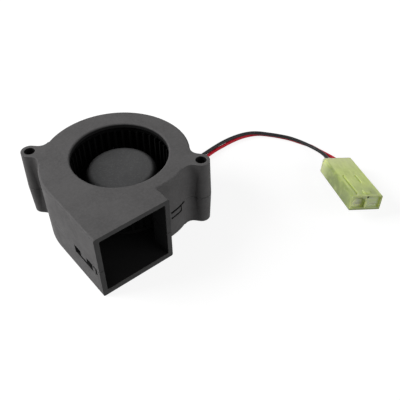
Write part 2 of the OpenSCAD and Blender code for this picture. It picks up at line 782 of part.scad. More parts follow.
// small components under the magnet's edge: radial depth, width and height
chip_size = [1.6, 2.8, chip_h];
capacitor_size = [0.8, 1.6, 0.8];
diode_size = [1, 1.8, 0.9];
component_inset = 0.9;
module on_board(angle, size) {
  rotate(angle) translate([magnet_r - component_inset, -size.y / 2, board_top]) cube(size);
}
module hall_driver() color(inner_black) on_board(45, chip_size);
module board_capacitor() color("tan") on_board(150, capacitor_size);
module board_diode() color(inner_black) on_board(240, diode_size);

// pins that carry the winding ends from the lower insulator to the board
module winding_pins() color("silver")
  for (a = pin_angles)
    rotate(a) translate([pin_circle_r, 0, board_z - pin_below])
      cylinder(d = pin_d, h = pin_below + board_t + pin_above);

module black_lead_tail() color(inner_black) tube_along(smooth_route(tail_route(1), 2), lead_r);
module red_lead_tail() color("crimson") tube_along(smooth_route(tail_route(-1), 2), lead_r);
module black_lead() color(inner_black) tube_along(smooth_route(black_route, 2), lead_r);
module red_lead() color("crimson") tube_along(smooth_route(red_route, 2), lead_r);

// the connector's own frame: x towards its mating face, y across, z up
module at_plug() {
  translate(plug_at) rotate([plug_lean, -plug_nose_up, plug_turn]) children();
}

// outline of the connector's cross-section
module plug_section() {
  difference() {
    square([plug_w, plug_h], center = true);
    for (x = [0, 1], y = [0, 1]) mirror([x, 0]) mirror([0, y]) {
      r = y == 0 ? plug_edge_r : plug_foot_r;
      translate([plug_w / 2 - r, plug_h / 2 - r]) corner_cut(r);
    }
  }
}

// one cavity is square, the other has an arched roof, so the halves mate one way only
module cavity_section(arched) {
  if (arched) {
    arch_z = (cavity_h - cavity_w) / 2;
    intersection() {
      translate([0, arch_z]) circle(d = cavity_w);
      square([cavity_w, cavity_h], center = true);
    }
    translate([-cavity_w / 2, -cavity_h / 2]) square([cavity_w, arch_z + cavity_h / 2]);
  } else
    square([cavity_w, cavity_h], center = true);
}

// carries a section in the plug's yz plane along its x axis
module along_plug(x0, l) {
  translate([x0, 0, 0]) rotate([90, 0, 90]) linear_extrude(l) children();
}

module connector_housing() color(nylon_green) at_plug() {
  difference() {
    along_plug(-plug_l / 2, plug_l) plug_section();
    for (side = [-1, 1]) {
      depth = side < 0 ? cavity_depth : square_depth;
      along_plug(plug_l / 2 - depth, depth + over)
        translate([side * plug_pitch / 2, 0]) cavity_section(side < 0);
      along_plug(-plug_l / 2 - over, plug_l - cavity_depth - mating_skin + over)
        translate([side * plug_pitch / 2, 0]) circle(contact_d / 2 + fit_gap);
      // slit for the other half's blade
      along_plug(plug_l / 2 - cavity_depth - mating_skin - over, cavity_depth + mating_skin + 2 * over)
        translate([side * plug_pitch / 2 - blade_slit_w / 2, -blade_slit_drop])
          square([blade_slit_w, blade_slit_h]);
    }
    along_plug(plug_l / 2 - pinhole_depth, pinhole_depth + over)
      translate([(plug_pitch - cavity_w) / 2 + pinhole_in, cavity_h / 2 - pinhole_in]) circle(d = pinhole_d);
    // two shallow keyways along the top
    for (side = [-1, 1])
      translate([-keyway_back, side * keyway_pitch / 2 + keyway_shift - keyway_w / 2,
          plug_h / 2 - keyway_depth])
        cube([side < 0 ? long_keyway_l : short_keyway_l, keyway_w, over]);
  }
  // low lug near the mating edge, which the other half locks over
  translate([plug_l / 2 - lug_back, lug_y, plug_h / 2 - lug_sink]) rotate_extrude() difference() {
    square([lug_r, lug_h + lug_sink]);
    translate([lug_r - lug_round, lug_h + lug_sink - lug_round]) corner_cut(lug_round);
  }
  connector_latch();
}

// latch arm under the housing, with a toe near the mating end that the nose rests on
module connector_latch() {
  arm_z = -plug_h / 2 - latch_arm_gap - latch_arm_t;
  translate([latch_root_x, -latch_arm_w / 2, arm_z]) cube([latch_arm_l, latch_arm_w, latch_arm_t]);
  translate([latch_root_x, -latch_arm_w / 2, arm_z])
    cube([latch_root_l, latch_arm_w, latch_arm_t + latch_arm_gap + latch_bite]);
  translate([latch_toe_x, -latch_arm_w / 2, latch_toe_z])
    cube([latch_toe_l, latch_arm_w, arm_z - latch_toe_z + latch_bite]);
}

// crimp contact in one way of the connector: a barrel and a slimmer nose, which ends behind the cavity
module contact(side) {
  color("khaki") at_plug() translate([0, side * plug_pitch / 2, 0]) {
    nose_x = plug_l / 2 - cavity_depth - contact_front - contact_nose_l;
    along_plug(-plug_l / 2 + contact_back, nose_x + plug_l / 2 - contact_back) circle(d = contact_d);
    along_plug(nose_x - over, contact_nose_l + over) circle(d = contact_pin_d);
  }
}
module black_contact() contact(-1);
module red_contact() contact(1);

// plan of one blade: an arc of radius blade_curve_r, its tip leaning the way that the cage turns
module blade_plan() {
  mid_r = impeller_r - blade_depth / 2;
  intersection() {
    difference() {
      circle(impeller_r - blade_inset);
      circle(impeller_r - blade_depth);
    }
    translate([mid_r - blade_depth / 4, blade_curve_r]) difference() {
      circle(blade_curve_r + blade_t / 2, $fn = 32);
      circle(blade_curve_r - blade_t / 2, $fn = 32);
    }
    translate([mid_r - 2 * blade_depth, -2 * blade_t]) square([4 * blade_depth, blade_curve_r + blade_t]);
  }
}

// squirrel-cage impeller: hub, back plate, blade cage and tip ring, one moulding
module impeller() color(inner_black) {
  rotate_extrude() difference() {
    union() {
      wall_section(hub_r, back_plate_z, hub_top, hub_edge_r, 0);
      translate([0, back_plate_z]) square([impeller_r, back_plate_t]);
    }
    // room for the motor, down to the boss that holds the shaft's insert
    translate([0, back_plate_z - over]) square([hub_bore_r, insert_base - back_plate_z + over]);
    translate([hub_boss_r, insert_base - over])
      square([hub_bore_r - hub_boss_r, hub_ceiling - insert_base + over]);
    translate([0, insert_base - over]) square([insert_r + fit_gap, insert_l + over]);
  }
  translate([0, 0, back_plate_z + back_plate_t / 2])
    linear_extrude(tip_z - tip_ring_h / 2 - back_plate_z - back_plate_t / 2)
      for (k = [0 : blade_count - 1]) rotate(360 * k / blade_count) blade_plan();
  translate([0, 0, tip_z - tip_ring_h]) ring(impeller_r, impeller_r - tip_ring_w, tip_ring_h);
}

module hub_insert() color("goldenrod")
  translate([0, 0, insert_base]) ring(insert_r, shaft_r + fit_gap, insert_l);

// drawn steel cup that closes the magnet's flux
module rotor_yoke() color("lightsteelblue") {
  translate([0, 0, yoke_base]) ring(yoke_r, yoke_bore_r, hub_ceiling - yoke_base);
  translate([0, 0, hub_ceiling - yoke_t]) ring(yoke_r, hub_boss_r + fit_gap, yoke_t);
}

module ring_magnet() color("dimgray") translate([0, 0, magnet_z]) ring(magnet_r, magnet_bore_r, magnet_h);

// groove for the retaining clip near the shaft's foot
groove_depth = shaft_r * 0.25;
module shaft() color("silver") difference() {
  translate([0, 0, shaft_base]) cylinder(r = shaft_r, h = insert_base + insert_l - shaft_base);
  translate([0, 0, clip_z - fit_gap]) ring(shaft_r + over, shaft_r - groove_depth, clip_t + 2 * fit_gap);
}

module oil_slinger() color(inner_black)
  translate([0, 0, slinger_z]) ring(insert_r, shaft_r + fit_gap, slinger_t);

// split spring washer in the shaft's groove
module retaining_clip() color("silver") translate([0, 0, clip_z]) difference() {
  ring(bearing_r - face_gap, shaft_r - groove_depth + fit_gap, clip_t);
  translate([0, -shaft_r * 0.4, -over]) cube([bearing_r, shaft_r * 0.8, clip_t + 2 * over]);
}

upper_casing();
lower_casing();
bearing_tube();
sleeve_bearing();
thrust_pad();
stator_core();
upper_insulator();
lower_insulator();
coil_1();
coil_2();
coil_3();
coil_4();
circuit_board();
hall_driver();
board_capacitor();
board_diode();
winding_pins();
black_lead_tail();
red_lead_tail();
black_lead();
red_lead();
connector_housing();
black_contact();
red_contact();
impeller();
hub_insert();
rotor_yoke();
ring_magnet();
shaft();
oil_slinger();
retaining_clip();
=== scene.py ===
import json
import math

import bpy
import numpy as np
from mathutils import Matrix, Vector


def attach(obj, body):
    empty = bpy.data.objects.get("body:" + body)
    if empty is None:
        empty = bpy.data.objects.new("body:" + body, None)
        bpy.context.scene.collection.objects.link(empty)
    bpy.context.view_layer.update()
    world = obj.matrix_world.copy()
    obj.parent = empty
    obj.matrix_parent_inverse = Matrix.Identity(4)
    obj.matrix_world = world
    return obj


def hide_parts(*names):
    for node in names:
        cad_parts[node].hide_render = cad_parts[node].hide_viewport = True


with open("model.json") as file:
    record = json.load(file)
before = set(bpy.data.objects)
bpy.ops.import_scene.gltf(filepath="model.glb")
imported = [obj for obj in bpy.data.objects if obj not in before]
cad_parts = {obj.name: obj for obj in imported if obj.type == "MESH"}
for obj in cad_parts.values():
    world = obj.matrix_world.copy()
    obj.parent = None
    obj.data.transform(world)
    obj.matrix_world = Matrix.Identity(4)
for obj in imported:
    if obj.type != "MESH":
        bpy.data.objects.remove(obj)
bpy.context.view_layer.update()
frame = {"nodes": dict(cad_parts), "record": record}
nodes = frame["nodes"]
MM = 0.001
UPWARDS = (0.0, 0.0, 1.0)


# camera, its place in millimetres

CAMERA_AT = (-56.95, -105.34, 116.21)
CAMERA_HEADING = (0.4469, 0.5659, -0.6929)
CAMERA_ROLL = math.radians(-0.978)
LENS, SENSOR = 53.09, 36.0
NEAREST_SEEN = 0.01


def place_camera():
    """The camera stands 17 cm off, above and to the left of the outlet, and is rolled by one degree.

    Its right and up are square to its heading, and turned round the heading by the roll.
    """
    forward = np.array(CAMERA_HEADING)
    forward /= np.linalg.norm(forward)
    level = np.cross(forward, UPWARDS)
    level /= np.linalg.norm(level)
    upright = np.cross(level, forward)
    right = math.cos(CAMERA_ROLL) * level + math.sin(CAMERA_ROLL) * upright
    up = -math.sin(CAMERA_ROLL) * level + math.cos(CAMERA_ROLL) * upright
    data = bpy.data.cameras.new("studio_camera")
    data.lens, data.sensor_width, data.clip_start = LENS, SENSOR, NEAREST_SEEN
    camera = bpy.data.objects.new("studio_camera", data)
    bpy.context.scene.collection.objects.link(camera)
    turn = np.eye(4)
    turn[:3, 0], turn[:3, 1], turn[:3, 2] = right, up, -forward
    turn[:3, 3] = np.array(CAMERA_AT) * MM
    camera.matrix_world = Matrix(turn.tolist())
    bpy.context.scene.camera = camera


# surfaces on a grid

def closed_tube(name, grid, along):
    """A tube from a grid of points, rows along it and columns round it, with a flat cap at each end.

    U runs once round the tube and V is the length along it in millimetres.
    """
    rows, columns = grid.shape[:2]
    row, column = np.meshgrid(np.arange(rows - 1), np.arange(columns), indexing="ij")
    following = (column + 1) % columns
    quads = np.stack([row * columns + column, row * columns + following,
                      (row + 1) * columns + following, (row + 1) * columns + column], axis=-1)
    ring = np.arange(columns)
    caps = [ring[::-1].tolist(), (ring + (rows - 1) * columns).tolist()]
    mesh = bpy.data.meshes.new(name)
    mesh.from_pydata(grid.reshape(-1, 3).tolist(), [], quads.reshape(-1, 4).tolist() + caps)
    u = np.stack([column, column + 1, column + 1, column], axis=-1) / columns
    v = np.stack([along[row], along[row], along[row + 1], along[row + 1]], axis=-1)
    walls = np.stack([u, v], axis=-1).reshape(-1, 2)
    ends = np.zeros((2 * columns, 2))
    ends[columns:, 1] = along[-1]
    layer = mesh.uv_layers.new(name="length")
    layer.data.foreach_set("uv", np.concatenate([walls, ends]).astype(np.float32).ravel())
    smooth = np.ones(len(mesh.polygons), dtype=bool)
    smooth[-len(caps):] = False
    mesh.polygons.foreach_set("use_smooth", smooth)
    mesh.update()
    piece = bpy.data.objects.new(name, mesh)
    bpy.context.scene.collection.objects.link(piece)
    return piece


def smooth_line(points, steps):
    """Cubic curve through the points; at each one it heads from the point before to the point after."""
    p = np.asarray(points, dtype=float)
    heading = np.empty_like(p)
    heading[1:-1] = (p[2:] - p[:-2]) / 2
    heading[0], heading[-1] = (p[1] - p[0]) / 2, (p[-1] - p[-2]) / 2
    t = np.linspace(0, 1, steps, endpoint=False)[None, :, None]
    start, stop, leave, arrive = p[:-1, None], p[1:, None], heading[:-1, None], heading[1:, None]
    line = ((2 * t**3 - 3 * t**2 + 1) * start + (t**3 - 2 * t**2 + t) * leave
            + (3 * t**2 - 2 * t**3) * stop + (t**3 - t**2) * arrive)
    return np.vstack([line.reshape(-1, 3), p[-1:]])


def wire_tube(name, line, radius, sides):
    """A circle of the given radius carried along the line, square to it at each point."""
    heading = np.gradient(line, axis=0)
    heading /= np.linalg.norm(heading, axis=1, keepdims=True)
    across = np.cross(UPWARDS, heading)
    across /= np.linalg.norm(across, axis=1, keepdims=True)
    lift = np.cross(heading, across)
    angle = np.arange(sides) * 2 * np.pi / sides
    rings = (line[:, None] + radius * (np.cos(angle)[None, :, None] * across[:, None]
                                       + np.sin(angle)[None, :, None] * lift[:, None]))
    along = np.concatenate([[0.0], np.cumsum(np.linalg.norm(np.diff(line, axis=0), axis=1))])
    return closed_tube(name, rings * MM, along), along[-1] * MM


# the two free leads, in millimetres, from the casing wall into the connector

LEAD_R = 0.52
LEAD_SIDES = 24
STEPS_PER_POINT = 8
BLACK_ROUTE = [
    (18.5, 1.55, 3.15), (20.3, 1.55, 3.15), (22.2, 1.7, 2.95), (24.4, 2.1, 2.5), (27, 2.6, 1.95),
    (30.2, 3.15, 1.65), (35.35, 3.8, 1.55), (39.05, 3.95, 1.58), (42.4, 3.7, 1.63),
    (45.6, 3.05, 1.65), (48.45, 1.9, 1.65), (50.8, 0.25, 1.5), (52.65, -1.95, 1.45),
    (54.7, -4.75, 1.45), (56.5, -7.85, 1.45), (57.75, -11.4, 1.42), (58.4, -15, 1.5),
    (58.35, -18.2, 1.85), (57.75, -20.9, 2.3), (56.5, -23.3, 2.75), (54.5, -25.65, 3.15),
    (53.2, -28.25, 3.65),
]
RED_ROUTE = [
    (18.5, 0.45, 3.15), (20.3, 0.45, 3.15), (22.1, 0.61, 2.87), (24.1, 1.05, 2.18), (26.4, 1.62, 1.42),
    (29.8, 2.36, 0.83), (34.85, 3.25, 0.6), (38.65, 3.45, 0.55), (42.2, 3.45, 0.55),
    (45.65, 3.05, 0.55), (48.7, 2.1, 0.55), (51.2, 0.65, 0.55), (53.15, -1.5, 0.55),
    (55.2, -4.35, 0.55), (57, -7.5, 0.55), (58.35, -10.95, 0.55), (59.45, -14.2, 0.55),
    (59.75, -17.2, 0.6), (59.7, -20.3, 1), (59.2, -23.6, 1.75), (58.3, -27.6, 2.55),
    (56.95, -30.25, 3),
]


def free_lead(name, route, node):
    """One insulated wire that lies loose between the casing and the connector."""
    line = smooth_line(route, STEPS_PER_POINT)
    piece, length = wire_tube(name, line, LEAD_R, LEAD_SIDES)
    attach(piece, "casing")
    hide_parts(node)
    return piece


place_camera()
black_wire = free_lead("black_wire", BLACK_ROUTE, "black_lead")
red_wire = free_lead("red_wire", RED_ROUTE, "red_lead")


# ways to build a finish: the range noise mostly keeps to, the repeat of a wave at scale 1, the size that
# leaves a wire's length map as it is, and the border of a mask in millimetres

USUAL_NOISE = (0.3, 0.7)
WAVE_PERIOD = math.pi / 10
UNSCALED = 1000.0
BORDER = 0.05
BEVEL_SAMPLES = 6
EDGE_ALIKE = (0.99, 0.75)


def add_node(tree, kind, *inputs, **settings):
    """A node with its first inputs set or linked, in order; None leaves an input as it is."""
    made = tree.nodes.new(kind)
    for key, value in settings.items():
        setattr(made, key, value)
    for socket, value in zip(made.inputs, inputs):
        if isinstance(value, bpy.types.NodeSocket):
            tree.links.new(value, socket)
        elif value is not None:
            socket.default_value = value
    return made


class Finish:
    """A material under construction: one Principled shader, and short ways to hang textures on it.

    Sizes and places are given in millimetres, and a share runs from 0 to 1.
    """

    def __init__(self, name, **sockets):
        self.material = bpy.data.materials.new(name)
        self.material.use_nodes = True
        self.tree = self.material.node_tree
        self.shader = self.tree.nodes["Principled BSDF"]
        for socket, value in sockets.items():
            self.shader.inputs[socket.replace("_", " ")].default_value = value
        self.place = self.tree.nodes.new("ShaderNodeTexCoord")
        self.normal = None

    def node(self, kind, *inputs, **settings):
        """A node of this material, made as add_node says."""
        return add_node(self.tree, kind, *inputs, **settings)

    def to(self, socket, value):
        """Links a value to one of the shader's sockets."""
        self.tree.links.new(value, self.shader.inputs[socket])

    def spread(self, scale, shift=None, source="Object"):
        """Coordinates in metres, or the length map of a wire, shifted and stretched."""
        return self.node("ShaderNodeMapping", self.place.outputs[source], shift, None, scale).outputs[0]

    def noise(self, size, detail=3.0, rough=0.5, vector=None, warp=0.0):
        """Cloudy noise whose blotches are about size wide."""
        made = self.node("ShaderNodeTexNoise", vector or self.place.outputs["Object"])
        made.inputs["Scale"].default_value = 1 / (size * MM)
        made.inputs["Detail"].default_value = detail
        made.inputs["Roughness"].default_value = rough
        made.inputs["Distortion"].default_value = warp
        return made.outputs[0]

    def clouds(self, size, detail=3.0, rough=0.5, low=0.0, high=1.0, **more):
        """Noise whose usual range is stretched to low..high."""
        return self.remap(self.noise(size, detail, rough, **more), *USUAL_NOISE, low, high)

    def pores(self, size):
        """Distance to scattered points about size apart."""
        made = self.node("ShaderNodeTexVoronoi", self.place.outputs["Object"])
        made.inputs["Scale"].default_value = 1 / (size * MM)
        return made.outputs["Distance"]

    def bands(self, size, axis, vector=None, warp=0.0, kind="BANDS"):
        """Parallel lines, or rings round an axis, size apart."""
        made = self.node("ShaderNodeTexWave", vector or self.place.outputs["Object"], wave_type=kind)
        if kind == "BANDS":
            made.bands_direction = axis
        else:
            made.rings_direction = axis
        made.inputs["Scale"].default_value = WAVE_PERIOD / (size * MM)
        made.inputs["Distortion"].default_value = warp
        return made.outputs["Fac"]

    def remap(self, value, low, high, out_low=0.0, out_high=1.0):
        """value stretched from low..high to out_low..out_high and held there."""
        return self.node("ShaderNodeMapRange", value, low, high, out_low, out_high).outputs[0]

    def ramp(self, length, low, high, out_low=0.0, out_high=1.0):
        """remap for a length, between two others in millimetres."""
        return self.remap(length, low * MM, high * MM, out_low, out_high)

    def sums(self, kind, a, b=None):
        """One or two values put through a named kind of sum."""
        return self.node("ShaderNodeMath", a, b, operation=kind).outputs[0]

    def both(self, a, b):
        """The lesser of two shares."""
        return self.sums("MINIMUM", a, b)

    def either(self, a, b):
        """The greater of two shares."""
        return self.sums("MAXIMUM", a, b)

    def times(self, a, b):
        """One value times another."""
        return self.sums("MULTIPLY", a, b)

    def tint(self, share, first, second):
        """Colour that goes from first to second as share goes from 0 to 1."""
        made = self.node("ShaderNodeMix", share, data_type="RGBA")
        for socket, value in ((made.inputs[6], first), (made.inputs[7], second)):
            if isinstance(value, bpy.types.NodeSocket):
                self.tree.links.new(value, socket)
            else:
                socket.default_value = (*value, 1.0)
        return made.outputs[2]

    def inside_box(self, low, high):
        """1 for points between two corners, past a narrow border."""
        parts = self.node("ShaderNodeSeparateXYZ", self.place.outputs["Object"]).outputs
        share = None
        for part, start, stop in zip(parts, low, high):
            for end, edge in ((start, BORDER), (stop, -BORDER)):
                side = self.ramp(part, end, end + edge)
                share = side if share is None else self.both(share, side)
        return share

    def within(self, centre, radius, border=BORDER):
        """1 for points closer to an upright axis than radius, past a border of the given width."""
        flat = self.spread((1, 1, 0), (-centre[0] * MM, -centre[1] * MM, 0))
        reach = self.node("ShaderNodeVectorMath", flat, operation="LENGTH").outputs["Value"]
        return self.ramp(reach, radius, radius - border)

    def rounded(self, radius):
        """The surface's direction, as if its edges were rounded by radius."""
        return self.node("ShaderNodeBevel", radius * MM, samples=BEVEL_SAMPLES).outputs[0]

    def soft_edges(self, radius):
        """Edges that catch the light as if they were rounded by radius."""
        self.normal = self.rounded(radius)
        self.to("Normal", self.normal)

    def edge_share(self, radius, strength):
        """strength along sharp edges, falling to 0 within radius of them."""
        flat = self.node("ShaderNodeNewGeometry").outputs["Normal"]
        alike = self.node("ShaderNodeVectorMath", self.rounded(radius), flat, operation="DOT_PRODUCT")
        return self.remap(alike.outputs["Value"], *EDGE_ALIKE, 0.0, strength)

    def bump(self, height, depth, strength):
        """Relief of the given depth, laid over what was there before."""
        made = self.node("ShaderNodeBump")
        made.inputs["Strength"].default_value = strength
        made.inputs["Distance"].default_value = depth * MM
        self.tree.links.new(height, made.inputs["Height"])
        if self.normal is not None:
            self.tree.links.new(self.normal, made.inputs["Normal"])
        self.normal = made.outputs[0]
        self.to("Normal", self.normal)


def grey(level):
    """A colour without hue."""
    return (level, level, level)


# the casing's hollows, which get painted shade, in millimetres: heights, the outlet and its end face, the two
# arcs of the scroll, the screw holes and the inlet, and then the impeller's hub and the width of painted
# shade over its rounded edge

HOLLOW_LOW, HOLLOW_HIGH = 1.4, 18.8
FAR = 30
OUTLET_LOW, OUTLET_HIGH = (-21.2, -21.74, HOLLOW_LOW), (-0.46, -0.7, HOLLOW_HIGH)
END_FACE = (-21.84, -21.88)
WIDE_AT, WIDE_R = (-1.3, -0.8), 19.44
TIGHT_AT, TIGHT_R = (2.1, -0.6), 16.1
RIGHT_EAR, LEFT_EAR, EAR_HOLE_R = (14.57, -15.46), (-17.42, 15.69), 1.5
UNDER_EAR_TOP = (19.9, 19.8)
AXIS = (0, 0)
THROAT_R = 13.6
UNDER_LIP = (19.95, 19.5)
HUB_R, HUB_SHADE_BORDER = 9.4, 1.7


def moulded_casing():
    """Dark grey casing plastic: spark-eroded grain outside, and near-black painted shade on the faces inside.

    The outside has a cloudy tone, its rubbed spots are a little paler, its edges are paler with wear and
    painted highlight, and the outlet's end face is darker with painted shade. The painted shade inside lies
    on the outlet, the scroll behind it, the screw holes and the inlet's throat.
    """
    dark, pale = (0.074, 0.072, 0.0725), (0.0945, 0.092, 0.0925)
    rubbed, worn_and_highlit_edge = (0.121, 0.118, 0.1185), (0.17, 0.167, 0.167)
    shaded_end_face, inside = (0.03, 0.03, 0.0305), (0.005, 0.005, 0.0051)
    f = Finish("casing_plastic", Specular_IOR_Level=0.14)
    _, depth, height = f.node("ShaderNodeSeparateXYZ", f.place.outputs["Object"]).outputs
    tone = f.tint(f.clouds(9.0, 4.0, 0.55), dark, pale)
    speck = f.remap(f.noise(0.6, 3.0, 0.7), 0.35, 0.7)
    tone = f.tint(f.times(speck, 0.5), tone, rubbed)
    # paler edges: partly wear, partly painted highlight
    tone = f.tint(f.edge_share(0.25, 0.5), tone, worn_and_highlit_edge)
    # painted shade: the outlet's end face darker
    tone = f.tint(f.ramp(depth, *END_FACE, 0.0, 0.75), tone, shaded_end_face)
    top = (FAR, FAR, HOLLOW_HIGH)
    # painted shade: near-black on the faces inside the outlet, the scroll, the screw holes, the inlet's
    # throat and the latch slits
    painted_shade_inside = f.inside_box(OUTLET_LOW, OUTLET_HIGH)
    rear = f.both(f.within(WIDE_AT, WIDE_R), f.inside_box((-FAR, WIDE_AT[1], HOLLOW_LOW), top))
    tight = f.both(f.within(TIGHT_AT, TIGHT_R), f.inside_box((-FAR, -FAR, HOLLOW_LOW), top))
    holes = f.either(f.within(RIGHT_EAR, EAR_HOLE_R), f.within(LEFT_EAR, EAR_HOLE_R))
    holes = f.both(holes, f.ramp(height, *UNDER_EAR_TOP))
    throat = f.both(f.within(AXIS, THROAT_R), f.ramp(height, *UNDER_LIP))
    for more in (rear, tight, holes, throat):
        painted_shade_inside = f.either(painted_shade_inside, more)
    f.to("Base Color", f.tint(painted_shade_inside, tone, inside))
    gloss = f.remap(f.noise(4.0, 5.0, 0.6, warp=0.6), 0.35, 0.7, 0.6, 0.78)
    f.to("Roughness", f.either(gloss, f.times(painted_shade_inside, 0.95)))
    f.soft_edges(0.12)
    f.bump(f.noise(0.22, 3.0, 0.65), 0.02, 0.35)
    return f.material


def moulded_impeller():
    """Black impeller plastic: a grey, flecked bloom on the hub, near-black painted shade on the blades and
    the hub's rounded edge, and rings of flow lines.
    """
    f = Finish("impeller_plastic", Specular_IOR_Level=0.06)
    cloud = f.clouds(6.0, 4.0, 0.55)
    hub = f.tint(cloud, (0.065, 0.065, 0.066), (0.079, 0.079, 0.080))
    hub = f.tint(f.edge_share(0.2, 0.3), hub, (0.075, 0.075, 0.076))
    fleck = f.remap(f.noise(0.4, 2.0, 0.6), 0.5, 0.7, 0.0, 0.32)
    hub = f.tint(fleck, hub, grey(0.13))
    # painted shade: the blades and back plate near-black, fading in over the hub's rounded edge
    shaded_cage = f.tint(cloud, grey(0.0016), grey(0.0026))
    unshaded_hub = f.within(AXIS, HUB_R, HUB_SHADE_BORDER)
    f.to("Base Color", f.tint(unshaded_hub, shaded_cage, hub))
    gloss = f.clouds(2.5, 4.0, 0.6, 0.46, 0.6)
    f.to("Roughness", f.either(gloss, f.remap(unshaded_hub, 0.0, 1.0, 0.85, 0.0)))
    f.soft_edges(0.1)
    f.bump(f.bands(0.35, "Z", kind="RINGS", warp=1.5), 0.006, 0.25)
    f.bump(f.noise(0.18, 3.0, 0.6), 0.015, 0.3)
    return f.material


# the connector's own frame, in millimetres: along it to the mating face, across it, and up

PLUG_AT = (51.9, -35.6, 4.553)
PLUG_TURN = tuple(math.radians(a) for a in (-8.5, -9.3, -116.7))
RECESS_FROM = (5.0, 5.1)
RECESS_HALF_W, RECESS_HALF_H = 4.1, 1.75
ARCH_FLOOR, SQUARE_FLOOR = 9.18, 9.68
SLIT_UNDER_FLOOR = (-0.08, -0.13)
LIP_FROM = (10.08, 10.12)
PIN_AT = (0.0, 0.35, 1.55)
PIN_EDGE = (0.46, 0.43)
PIN_FROM = (8.0, 8.1)
SUNK_LIGHT = 0.8


def cloudy_nylon():
    """Yellow-green unfilled nylon: light sinks in, with cloudy depth, streaks and a satin moulded skin.

    Painted light lies on it: paler towards the rear, with painted shade towards the front and on the mottled
    left side, a painted highlight along the edges, and a darker patch by the lug. In the mating face, the
    recesses have their bottoms and slits lightened against their shade, painted shade on their walls and on
    the lip round them, darkest below and on its right, and the pinhole painted black as its shadow.
    """
    deep, clear, streaked = (0.58, 0.69, 0.215), (0.69, 0.79, 0.285), (0.36, 0.43, 0.14)
    lit_rear, shaded_front, highlit_edge = (0.72, 0.77, 0.42), (0.42, 0.50, 0.185), (0.66, 0.73, 0.35)
    shaded_side, darker_by_lug = (0.25, 0.31, 0.10), (0.36, 0.42, 0.18)
    lit_arch_floor, lit_square_floor = (0.80, 0.88, 0.46), (0.64, 0.73, 0.41)
    lit_slit, shaded_recess_wall = (0.98, 1.0, 0.8), (0.46, 0.53, 0.25)
    shaded_lip_face, lip_shade, painted_pin_shadow = (0.48, 0.55, 0.26), (0.27, 0.33, 0.12), (0.004, 0.005, 0.003)
    f = Finish("connector_nylon", Specular_IOR_Level=0.4, Subsurface_Weight=SUNK_LIGHT,
               Subsurface_Scale=0.0025, Subsurface_Radius=(1.0, 1.0, 0.5))
    own = f.node("ShaderNodeMapping", f.place.outputs["Object"], tuple(c * MM for c in PLUG_AT), PLUG_TURN,
                 vector_type="TEXTURE").outputs[0]
    along, across, up = f.node("ShaderNodeSeparateXYZ", own).outputs

    tone = f.tint(f.clouds(3.0, 4.0, 0.6, warp=0.8), deep, clear)
    drawn_out = f.node("ShaderNodeMapping", own, None, None, (0.3, 1, 1)).outputs[0]
    streak = f.remap(f.noise(1.1, 3.0, 0.6, drawn_out), 0.45, 0.8)
    tone = f.tint(f.times(streak, 0.45), tone, streaked)
    # painted light: paler towards the rear; painted shade: darker towards the mating face
    tone = f.tint(f.ramp(along, -3.0, -9.5, 0.0, 0.6), tone, lit_rear)
    front = f.times(f.ramp(along, 2.0, 9.0), f.ramp(across, 2.4, 3.6, 0.7, 0.25))
    tone = f.tint(front, tone, shaded_front)
    # painted highlight along the edges
    tone = f.tint(f.edge_share(0.3, 0.3), tone, highlit_edge)
    # painted shade on the mottled left side
    side = f.both(f.ramp(across, -3.6, -4.2), f.ramp(along, -8.5, -4.5))
    mottle = f.remap(f.noise(1.7, 3.0, 0.55), 0.35, 0.6, 0.65, 1.0)
    tone = f.tint(f.times(side, mottle), tone, shaded_side)
    # a darker patch on the top by the lug
    lug_patch = f.both(f.ramp(along, 5.8, 7.4), f.ramp(across, 1.0, 2.2))
    tone = f.tint(f.times(lug_patch, f.ramp(across, 4.1, 2.7, 0.1, 0.5)), tone, darker_by_lug)

    recess = f.ramp(along, *RECESS_FROM)
    for limit, part in ((RECESS_HALF_W, across), (RECESS_HALF_H, up)):
        recess = f.both(recess, f.ramp(f.sums("ABSOLUTE", part), limit, limit - BORDER))
    # painted light: the recess bottoms and slits lightened against their shade
    floors = f.tint(f.ramp(across, -0.3, 0.3), lit_arch_floor, lit_square_floor)
    floor_at = f.ramp(across, -0.1, 0.1, ARCH_FLOOR * MM, SQUARE_FLOOR * MM)
    above = f.sums("SUBTRACT", along, floor_at)
    floors = f.tint(f.ramp(above, *SLIT_UNDER_FLOOR), floors, lit_slit)
    # painted shade on the recess walls
    tone = f.tint(recess, tone, f.tint(f.ramp(above, 0.0, BORDER), floors, shaded_recess_wall))
    # painted shade on the lip round the recesses, darkest below and on its right
    shade = f.either(f.ramp(up, -1.5, -1.9), f.ramp(across, 3.9, 4.3))
    tone = f.tint(f.ramp(along, *LIP_FROM), tone, f.tint(shade, shaded_lip_face, lip_shade))
    # painted shadow: the pinhole black
    flat = f.node("ShaderNodeCombineXYZ", 0.0, across, up).outputs[0]
    from_pin = f.node("ShaderNodeVectorMath", flat, tuple(c * MM for c in PIN_AT), operation="DISTANCE")
    pin_shadow = f.both(f.ramp(from_pin.outputs["Value"], *PIN_EDGE), f.ramp(along, *PIN_FROM))
    f.to("Base Color", f.tint(pin_shadow, tone, painted_pin_shadow))
    f.to("Subsurface Weight", f.remap(pin_shadow, 0.0, 1.0, SUNK_LIGHT, 0.0))
    f.to("Roughness", f.clouds(1.2, 4.0, 0.6, 0.34, 0.5))
    f.soft_edges(0.12)
    f.bump(f.noise(0.5, 3.0, 0.6), 0.02, 0.3)
    return f.material


